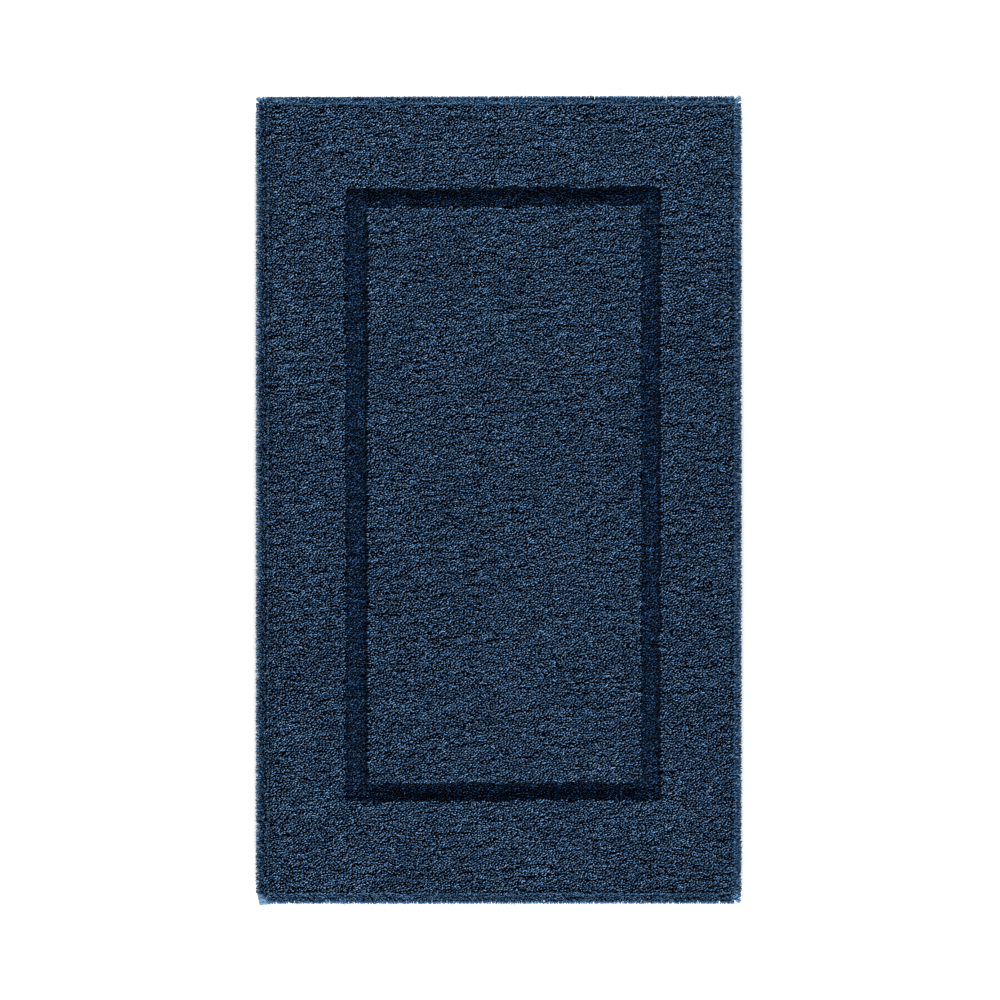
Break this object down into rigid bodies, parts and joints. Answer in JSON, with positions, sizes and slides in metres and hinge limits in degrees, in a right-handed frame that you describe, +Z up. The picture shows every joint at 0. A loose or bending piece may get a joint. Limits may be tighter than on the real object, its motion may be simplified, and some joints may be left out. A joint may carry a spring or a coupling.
{
  "type": "bath mat",
  "caption": "Rectangular tufted cotton bath mat: high cut pile with a sheared rectangular channel, hemmed edges and a latex-coated back.",
  "frame": {"origin": "middle of the underside, on the floor the mat lies on", "axes": "+X across the mat, +Y along its length, +Z up through the pile"},
  "size_m": [0.61, 1.016, 0.0178],
  "materials": {
    "cut_pile": "high cut cotton pile, matt, navy",
    "sheared_pile": "low sheared cotton pile, matt, navy",
    "base_cloth": "plain-woven cotton, piece-dyed",
    "tufting_yarn": "cotton yarn under the cloth",
    "latex": "dried latex compound, satin, slightly grippy",
    "sewing_thread": "spun polyester thread",
    "care_label": "blank satin-woven tape"
  },
  "bodies": {
    "root": {"base_cloth": "base_cloth", "border_pile_left": "cut_pile", "border_pile_right": "cut_pile", "border_pile_top": "cut_pile", "border_pile_bottom": "cut_pile", "channel_pile_left": "sheared_pile", "channel_pile_right": "sheared_pile", "channel_pile_top": "sheared_pile", "channel_pile_bottom": "sheared_pile", "centre_pile": "cut_pile", "backstitch_rows": "tufting_yarn", "latex_coating": "latex", "hem_left": "base_cloth", "hem_right": "base_cloth", "hem_top": "base_cloth", "hem_bottom": "base_cloth", "hem_seam_left": "sewing_thread", "hem_seam_right": "sewing_thread", "hem_seam_top": "sewing_thread", "hem_seam_bottom": "sewing_thread", "care_label": "care_label"}
  },
  "joints": []
}
